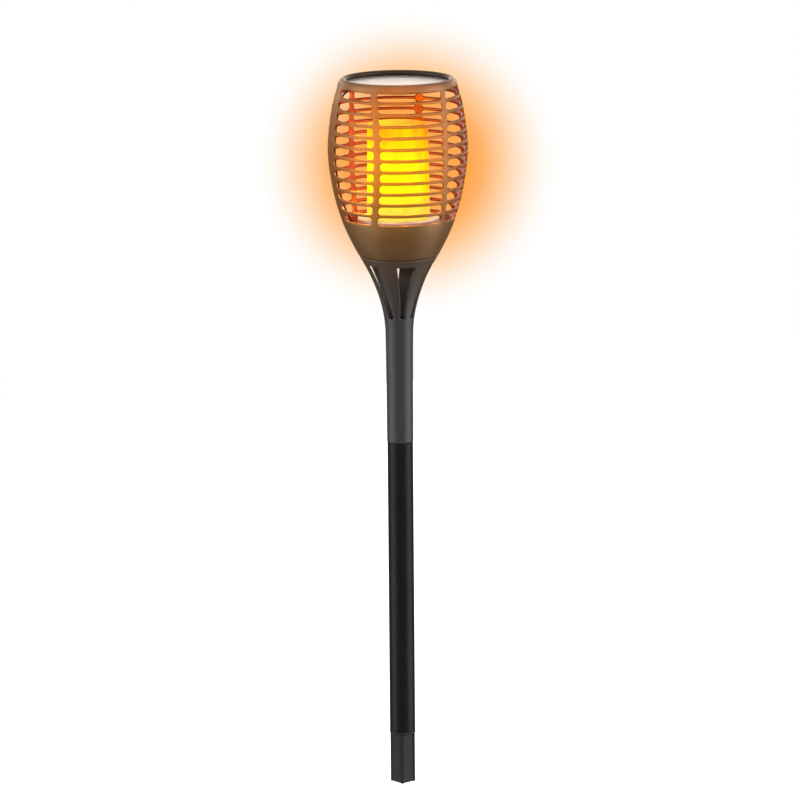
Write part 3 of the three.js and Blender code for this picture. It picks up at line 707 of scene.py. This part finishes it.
# ---------- Head: panel ----------
def panel():
    tray_inner, tray_floor = TRAY_RADIUS - TRAY_WALL, TRAY_BOTTOM + TRAY_FLOOR
    tray = revolved("panel_tray_detail", soften([
        (0, TRAY_BOTTOM), (TRAY_RADIUS, TRAY_BOTTOM), (TRAY_RADIUS, PANEL_TOP),
        (tray_inner, PANEL_TOP), (tray_inner, tray_floor), (0, tray_floor)], 0.4), PANEL_SIDES)
    dress(tray, black_plastic, "head", "black_plastic", "panel_tray")
    cover_bottom = PANEL_TOP - COVER_THICKNESS
    cover = revolved("panel_cover_detail", soften([
        (0, cover_bottom), (COVER_RADIUS, cover_bottom), (COVER_RADIUS, PANEL_TOP),
        (0, PANEL_TOP)], 0.3), PANEL_SIDES)
    dress(cover, clear, "head", "clear_cover", "panel_cover")


panel()


# ---------- Head: lamp ----------
def lamp():
    top_radius = DIFFUSER_RADIUS - TUBE_DRAFT
    tube = revolved("flame_diffuser_detail", soften([
        (0, DIFFUSER_TOP - TUBE_WALL), (top_radius - TUBE_WALL, DIFFUSER_TOP - TUBE_WALL),
        (DIFFUSER_RADIUS - TUBE_WALL, DIFFUSER_BOTTOM), (DIFFUSER_RADIUS, DIFFUSER_BOTTOM),
        (top_radius, DIFFUSER_TOP), (0, DIFFUSER_TOP)], TUBE_ROUND, 8), LAMP_SIDES)
    dress(tube, flame, "head", "frosted_flame", "flame_diffuser")
    tube.visible_diffuse = False
    foot = PEDESTAL_BOTTOM
    ring_top, inner_radius, inner_top = (
        PEDESTAL_TOP + RING_HEIGHT, PEDESTAL_RADIUS - PEDESTAL_WALL, PEDESTAL_TOP - PEDESTAL_WALL)
    base = revolved("lamp_base_detail", soften([
        (FOOT_INNER, foot), (FOOT_OUTER, foot), (FOOT_OUTER, foot + FLARE_START),
        (FOOT_FLARE, foot + FLARE_BEND), (PEDESTAL_RADIUS, foot + FLARE_END),
        (PEDESTAL_RADIUS, PEDESTAL_TOP), (RING_OUTER, PEDESTAL_TOP), (RING_OUTER, ring_top),
        (RING_INNER, ring_top), (RING_INNER, PEDESTAL_TOP), (LEAD_HOLE, PEDESTAL_TOP),
        (LEAD_HOLE, inner_top), (inner_radius, inner_top), (inner_radius, foot + FLARE_END),
        (32, foot + 5.4), (FOOT_INNER, foot + 2.2)], 1.0), LAMP_SIDES)
    dress(base, white_plastic, "head", "white_plastic", "lamp_base")


lamp()


# ---------- Neck ----------
def bent_edge(ends, steps=14):
    """Points down one edge of a neck opening."""
    top, bend, bottom = (np.array(p) for p in zip(ends, NECK_SLOT_HEIGHTS))
    return [(1 - t) ** 2 * top + 2 * t * (1 - t) * bend + t * t * bottom for t in np.linspace(0, 1, steps)]


def neck():
    heights = np.concatenate([np.linspace(NECK_BOTTOM + 0.5, BORE_TOP - 3, 12),
                              np.linspace(BORE_TOP, NECK_TOP - 1.2, 60)])
    outer = [(neck_radius(z), z) for z in heights]
    top = [(33.8, NECK_TOP - 0.4), (33.3, NECK_TOP), (SOCKET_RADIUS, NECK_TOP), (SOCKET_RADIUS, SOCKET_FLOOR)]
    inner = [(max(NECK_BORE, neck_radius(z) - NECK_WALL), z) for z in heights[::-1]
             if BORE_TOP + 1 < z < SOCKET_FLOOR - 1]
    profile = [(11.2, NECK_BOTTOM), *outer, *top, *inner, (NECK_BORE, BORE_TOP), (NECK_BORE, NECK_BOTTOM)]
    wall = Field(lambda u, v: polygon_distance(profile, u, v), (5, 38), (NECK_BOTTOM - 4, NECK_TOP + 4), 0.2)
    centre = bent_edge(CENTRE_EDGE)
    centre += [(-x, z) for x, z in centre[::-1]]
    openings = []
    for inner_edge, outer_edge in (FRONT_SIDE_EDGES, BACK_SIDE_EDGES):
        side = bent_edge(outer_edge) + bent_edge(inner_edge)[::-1]
        openings.append(Field(
            lambda u, v, side=side: np.minimum(polygon_distance(centre, u, v), polygon_distance(side, u, v)),
            (0, 38), (NECK_SLOT_HEIGHTS[2] - 8, NECK_SLOT_HEIGHTS[0] + 8), 0.2))

    radii_at = np.linspace(NECK_BOTTOM, NECK_TOP, 200)
    radii = [neck_radius(z) for z in radii_at]

    def shape(x, y, z):
        r = np.hypot(x, y)
        level = z + 0 * r
        near = (level > NECK_SLOT_HEIGHTS[2] - 7) & (level < NECK_SLOT_HEIGHTS[0] + 7)
        across = np.abs(x) / np.maximum(r, 1) * np.interp(level, radii_at, radii)
        gap = np.where(y < 0, openings[0](across, level), openings[1](across, level))
        gap = np.where(near, gap, 5)
        return smooth_max(wall(r, level), -gap, 0.7)

    piece = net_object("neck_funnel_detail", shape, [-34, -34, NECK_BOTTOM], [34, 34, NECK_TOP], NECK_VOXEL)
    dress(piece, neck_grey, "neck", "grey_plastic", "neck_funnel")


neck()


# ---------- Pole and spike ----------
def pole():
    bore = POLE_RADIUS - POLE_WALL
    levels = np.linspace(POLE_BOTTOM, POLE_TOP, 24)
    profile = soften([(bore, POLE_BOTTOM), (POLE_RADIUS, POLE_BOTTOM), (POLE_RADIUS, POLE_TOP),
                      (bore, POLE_TOP)], 0.35)
    out = []
    for a, b in zip(profile, profile[1:] + profile[:1]):
        out.append(a)
        if abs(a[1] - b[1]) > 50:
            between = levels[1:-1] if b[1] > a[1] else levels[-2:0:-1]
            out.extend((a[0], z) for z in between)
    dress(revolved("pole_tube_detail", out, POLE_SIDES), pole_black, "pole", "satin_black", "pole_tube")


def spike():
    """A collar and plug over a square tube with a rib on each corner, drawn out to a point."""
    cos, sin = math.cos(-SPIKE_TURN), math.sin(-SPIKE_TURN)

    def shape(x, y, z):
        x, y = x * cos - y * sin, x * sin + y * cos
        a, b = np.abs(x), np.abs(y)
        level = z + 0 * a * b
        share = np.clip((level - SPIKE_TIP) / (TAPER_START - SPIKE_TIP), 0, 1)
        half = TIP_HALF + (RIB_HALF - TIP_HALF) * share
        ribs = smooth_min(smooth_max(a - half, b - RIB_THICKNESS / 2, 0.5),
                          smooth_max(b - half, a - RIB_THICKNESS / 2, 0.5), 0.5)
        bar = (a + b - (TIP_HALF + (BAR_HALF - TIP_HALF) * share)) / math.sqrt(2)
        body = smooth_max(smooth_min(ribs, bar, 1.0), level - COLLAR_BOTTOM - 1, 0.2)
        body = np.maximum(body, SPIKE_TIP - level)
        r = np.hypot(a, b)
        collar = smooth_max(r - COLLAR_RADIUS, np.abs(level - (COLLAR_TOP + COLLAR_BOTTOM) / 2) - 1.1, 0.6)
        plug = smooth_max(r - PLUG_RADIUS, np.maximum(COLLAR_TOP - 1 - level, level - PLUG_TOP), 1.2)
        bore = np.where(level > COLLAR_BOTTOM + 3, r - BAR_BORE,
                        np.maximum(a + b - BAR_BORE, TAPER_START - level) / math.sqrt(2))
        return smooth_max(np.minimum(smooth_min(body, collar, 0.5), plug), -bore, 0.4)

    piece = net_object("ground_spike_detail", shape, [-12, -12, SPIKE_TIP], [12, 12, PLUG_TOP], SPIKE_VOXEL)
    dress(piece, spike_black, "spike", "satin_black", "ground_spike")


pole()
spike()


# ---------- Carried-over CAD nodes ----------
CAD_LOOKS = {
    "panel_gasket": rubber, "solar_cells": cells, "panel_lead": lead_black, "led_former": white_plastic,
    "led_board": board_green, "control_board": board_green, "board_lead": lead_black,
    "base_plate": black_plastic, "battery_cell": cell_wrap, "battery_contact": steel,
    "battery_spring": steel, "battery_lead_positive": lead_black, "battery_lead_negative": lead_black,
    "battery_cover": black_plastic, "switch_body": black_plastic, "switch_lead": lead_black,
    "switch_button": rubber, "pole_spigot": black_plastic,
    **{f"cover_screw_{i}": steel for i in (1, 2)}, **{f"base_screw_{i}": steel for i in (1, 2, 3)},
}
for name, material in CAD_LOOKS.items():
    node = frame["nodes"][name]
    node.data.materials.clear()
    node.data.materials.append(material)


# ---------- Studio ----------
FLOOR_REACH, FLOOR_BACK = 3300, 1700
FLOOR_TOP, FLOOR_BOTTOM = -0.2, -0.8


def floor():
    """A thin white plate. It is evenly bright, so it meets the white backdrop without an edge."""
    outline = [(-FLOOR_REACH, -FLOOR_REACH), (FLOOR_REACH, -FLOOR_REACH),
               (FLOOR_REACH, FLOOR_BACK), (-FLOOR_REACH, FLOOR_BACK)]
    count = len(outline)
    points = [(x, y, z) for z in (FLOOR_BOTTOM, FLOOR_TOP) for x, y in outline]
    mesh = bpy.data.meshes.new("floor")
    sides = [[i, (i + 1) % count, count + (i + 1) % count, count + i] for i in range(count)]
    mesh.from_pydata((np.array(points) * MM).tolist(), [],
                     [list(range(count))[::-1], list(range(count, 2 * count)), *sides])
    piece = bpy.data.objects.new("floor", mesh)
    bpy.context.scene.collection.objects.link(piece)
    look = Look("floor_white").set(Roughness=0.9, Specular_IOR_Level=0.1, Emission_Strength=1.0)
    shade = look.ramp(look.noise(3), [(0.3, (0.96, 0.96, 0.96)), (0.7, (1, 1, 1))])
    look.to(shade, "Base Color").set(Emission_Color=(1, 1, 1, 1))
    piece.data.materials.append(look.material)
    piece.visible_shadow = False
    piece.visible_diffuse = False
    piece.visible_glossy = False


# The flame's glow on the backdrop: its centre, its radius at the torch, and its colours outwards
GLOW_CENTRE = Vector((0.0085, 0, 0.5475))
GLOW_RADIUS = 0.12768
GLOW_COLOURS = [(0.42, "ffa952"), (0.5, "ffb268"), (0.58, "ffc48a"), (0.66, "ffd4a9"),
                (0.74, "ffe3c8"), (0.82, "fff0e1"), (0.9, "fff9f2"), (1.0, "ffffff")]
# How bright the studio looks to a surface: on the camera's side, behind the torch, below, and in
# the pale band
ROOM_FRONT, ROOM_BACK, ROOM_BELOW = 0.62, 0.42, 0.12
BAND = 3.5


def world():
    """White to the eye, with the flame's glow round the head, and a studio of greys to the surfaces."""
    sky = bpy.data.worlds.new("studio")
    bpy.context.scene.world = sky
    sky.use_nodes = True
    nodes, links = sky.node_tree.nodes, sky.node_tree.links
    nodes.clear()
    place = nodes.new("ShaderNodeTexCoord").outputs["Generated"]

    def dotted(direction):
        node = nodes.new("ShaderNodeVectorMath")
        node.operation = "DOT_PRODUCT"
        node.inputs[1].default_value = direction
        links.new(place, node.inputs[0])
        return node.outputs["Value"]

    def ranged(value, from_low, from_high, to_low=0.0, to_high=1.0):
        node = nodes.new("ShaderNodeMapRange")
        for name, number in zip(("From Min", "From Max", "To Min", "To Max"),
                                (from_low, from_high, to_low, to_high)):
            node.inputs[name].default_value = number
        links.new(value, node.inputs["Value"])
        return node.outputs["Result"]

    def product(a, b):
        node = nodes.new("ShaderNodeMath")
        node.operation = "MULTIPLY"
        links.new(a, node.inputs[0])
        links.new(b, node.inputs[1])
        return node.outputs[0]

    def background(colour, strength):
        node = nodes.new("ShaderNodeBackground")
        for value, socket in ((colour, node.inputs["Color"]), (strength, node.inputs["Strength"])):
            if isinstance(value, (int, float, tuple)):
                socket.default_value = value
            else:
                links.new(value, socket)
        return node.outputs[0]

    away = nodes.new("ShaderNodeVectorMath")
    away.operation = "DISTANCE"
    away.inputs[1].default_value = (GLOW_CENTRE - EYE).normalized()
    links.new(place, away.inputs[0])
    glow = ramp_node(nodes, [(position, srgb(code)) for position, code in GLOW_COLOURS])
    reach = GLOW_RADIUS / (GLOW_CENTRE - EYE).length
    links.new(ranged(away.outputs["Value"], 0, reach), glow.inputs["Fac"])
    seen = background(glow.outputs["Color"], 1.0)

    # Surfaces see a room that is brighter on the camera's side of the torch than behind it, and
    # dark below, with a pale band just above the horizon behind the torch.
    behind = dotted((-EYE.x / EYE.xy.length, -EYE.y / EYE.xy.length, 0))
    height = dotted((0, 0, 1))
    room = product(ranged(behind, -1, 1, ROOM_FRONT, ROOM_BACK), ranged(height, -0.03, 0.05, ROOM_BELOW, 1))
    band = product(ranged(behind, 0.5, 0.9), ranged(height, 0.3, 0.12))
    band = product(band, ranged(height, 0.0, 0.05))
    felt = nodes.new("ShaderNodeAddShader")
    links.new(background((1, 1, 1, 1), room), felt.inputs[0])
    band = product(band, ranged(height, -1, 1, BAND, BAND))
    links.new(background((1, 0.83, 0.66, 1), band), felt.inputs[1])

    path = nodes.new("ShaderNodeLightPath")
    mix = nodes.new("ShaderNodeMixShader")
    links.new(path.outputs["Is Camera Ray"], mix.inputs["Fac"])
    links.new(felt.outputs[0], mix.inputs[1])
    links.new(seen, mix.inputs[2])
    out = nodes.new("ShaderNodeOutputWorld")
    links.new(mix.outputs[0], out.inputs["Surface"])


# ---------- Lights ----------
SOFT_BOXES = [("left_box", -74, 11), ("right_box", 78, 13)]  # azimuth from the camera, power
BOX_DISTANCE, BOX_HEIGHT = 1.3, 0.3
BOX_SIZE = 1.2, 1.9

FLAME_POWER, FLAME_COLOUR = 0.038, (1, 0.36, 0.001)
FLAME_RING, FLAME_HEIGHTS = 36, (590, 565, 540, 516)
FLAME_EVEN, FLAME_LEAN = 0.62, 0.38  # the ring's even share, and how much stronger its left is
PEDESTAL_POWER, PEDESTAL_COLOUR = 0.0045, (1, 0.72, 0.17)
PEDESTAL_RING, PEDESTAL_HEIGHT = 32, 513
RING_LAMPS = 6
NECK_POWER, NECK_COLOUR, NECK_PLACE = 0.001, (1, 0.82, 0.66), (0, 4, 452)
LAMP_SIZE = 0.004

# Pools of the flame's glare on the cage: name, centre, radius, power, colour
GLARES = [
    ("glare_wide", (0, 0, 575), 78, 50, (1, 0.30, 0.01)),
    *[(f"glare_{z}", (-4, 0, z), 56, 56, (1, 0.84, 0.005)) for z in (526, 548, 570)],
    ("glare_rim", (2, 0, 614), 34, 42, (1, 0.22, 0.005)),
]
GLARE_DISTANCE = 1.2

SHEEN_POWER, SHEEN_COLOUR = 20.0, (1, 0.81, 0.66)
SHEEN_SIZE, SHEEN_DISTANCE, SHEEN_RISE = (2.4, 0.9), 2.2, 0.25


def new_light(name, kind, power, colour=(1, 1, 1)):
    data = bpy.data.lights.new(name, kind)
    data.energy, data.color = power, colour
    light = bpy.data.objects.new(name, data)
    bpy.context.scene.collection.objects.link(light)
    light.visible_camera = False
    return light


def board(name, power, size, colour=(1, 1, 1)):
    light = new_light(name, "AREA", power, colour)
    light.data.shape, light.data.size, light.data.size_y = "RECTANGLE", *size
    return light


def face(light, target):
    """Turns a light towards a point."""
    light.rotation_euler = (target - light.location).to_track_quat("-Z", "Y").to_euler()


def receivers(*names):
    """The pieces that one light reaches."""
    group = bpy.data.collections.new("lit_" + names[0])
    for name in names:
        group.objects.link(bpy.data.objects[name])
    return group


def soft_box(name, azimuth, power):
    """An upright area light, its azimuth counted from the camera to the camera's right."""
    light = board(name, power, BOX_SIZE)
    angle = CAMERA_AZIMUTH + math.radians(azimuth)
    light.location = (math.sin(angle) * BOX_DISTANCE, -math.cos(angle) * BOX_DISTANCE, BOX_HEIGHT)
    light.rotation_euler = (math.pi / 2, 0, angle)


def lamp_point(name, place_mm, power, colour, group, body="head"):
    """A small lamp that moves with the body that it lights."""
    light = new_light(name, "POINT", power, colour)
    light.data.shadow_soft_size = LAMP_SIZE
    light.location = Vector(place_mm) * MM
    light.light_linking.receiver_collection = group
    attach(light, body)


def flame_lights():
    """The flame's red light on the cage's inside, stronger on the left, and its pale light below."""
    cage = receivers("cage_back_detail", "cage_front_detail")
    pedestal = receivers("lamp_base_detail")
    for k in range(RING_LAMPS):
        turn = 2 * math.pi * k / RING_LAMPS
        for level, height in enumerate(FLAME_HEIGHTS):
            angle = turn + math.pi / RING_LAMPS * level
            place = (FLAME_RING * math.cos(angle), FLAME_RING * math.sin(angle), height)
            power = FLAME_POWER * (FLAME_EVEN - FLAME_LEAN * math.cos(angle))
            lamp_point(f"flame_{level}_{k}", place, power, FLAME_COLOUR, cage)
        place = (PEDESTAL_RING * math.cos(turn), PEDESTAL_RING * math.sin(turn), PEDESTAL_HEIGHT)
        lamp_point(f"pedestal_{k}", place, PEDESTAL_POWER, PEDESTAL_COLOUR, pedestal)
    neck_inside = receivers("neck_funnel_detail")
    lamp_point("neck_glow", NECK_PLACE, NECK_POWER, NECK_COLOUR, neck_inside, "neck")


def glare(name, target_mm, radius_mm, power, colour, group):
    """A soft warm pool on the front of the torch, as the flame's glare leaves there."""
    target = Vector(target_mm) * MM
    light = new_light(name, "SPOT", power, colour)
    light.data.spot_size = 2 * math.atan(radius_mm * MM / GLARE_DISTANCE)
    light.data.spot_blend = 1.0
    light.data.shadow_soft_size = 0.02
    light.location = target + (EYE - target).normalized() * GLARE_DISTANCE
    face(light, target)
    light.visible_glossy = False
    light.light_linking.receiver_collection = group
    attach(light, "head")


def panel_sheen():
    """A pale board behind the torch, where the solar panel's cover mirrors it to the camera."""
    light = board("panel_sheen", SHEEN_POWER, SHEEN_SIZE, SHEEN_COLOUR)
    panel_top = Vector((0, 0, PANEL_TOP * MM))
    away = panel_top - EYE
    mirrored = Vector((away.x, away.y, SHEEN_RISE - away.z)).normalized()
    light.location = panel_top + mirrored * SHEEN_DISTANCE
    face(light, panel_top)
    cover = receivers("panel_cover_detail")
    light.light_linking.receiver_collection = cover
    light.light_linking.blocker_collection = cover
    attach(light, "head")


def studio():
    bpy.context.scene.view_settings.view_transform = "Standard"
    floor()
    world()
    for name, azimuth, power in SOFT_BOXES:
        soft_box(name, azimuth, power)
    flame_lights()
    front = receivers("cage_front_detail")
    for spot in GLARES:
        glare(*spot, front)
    panel_sheen()


studio()
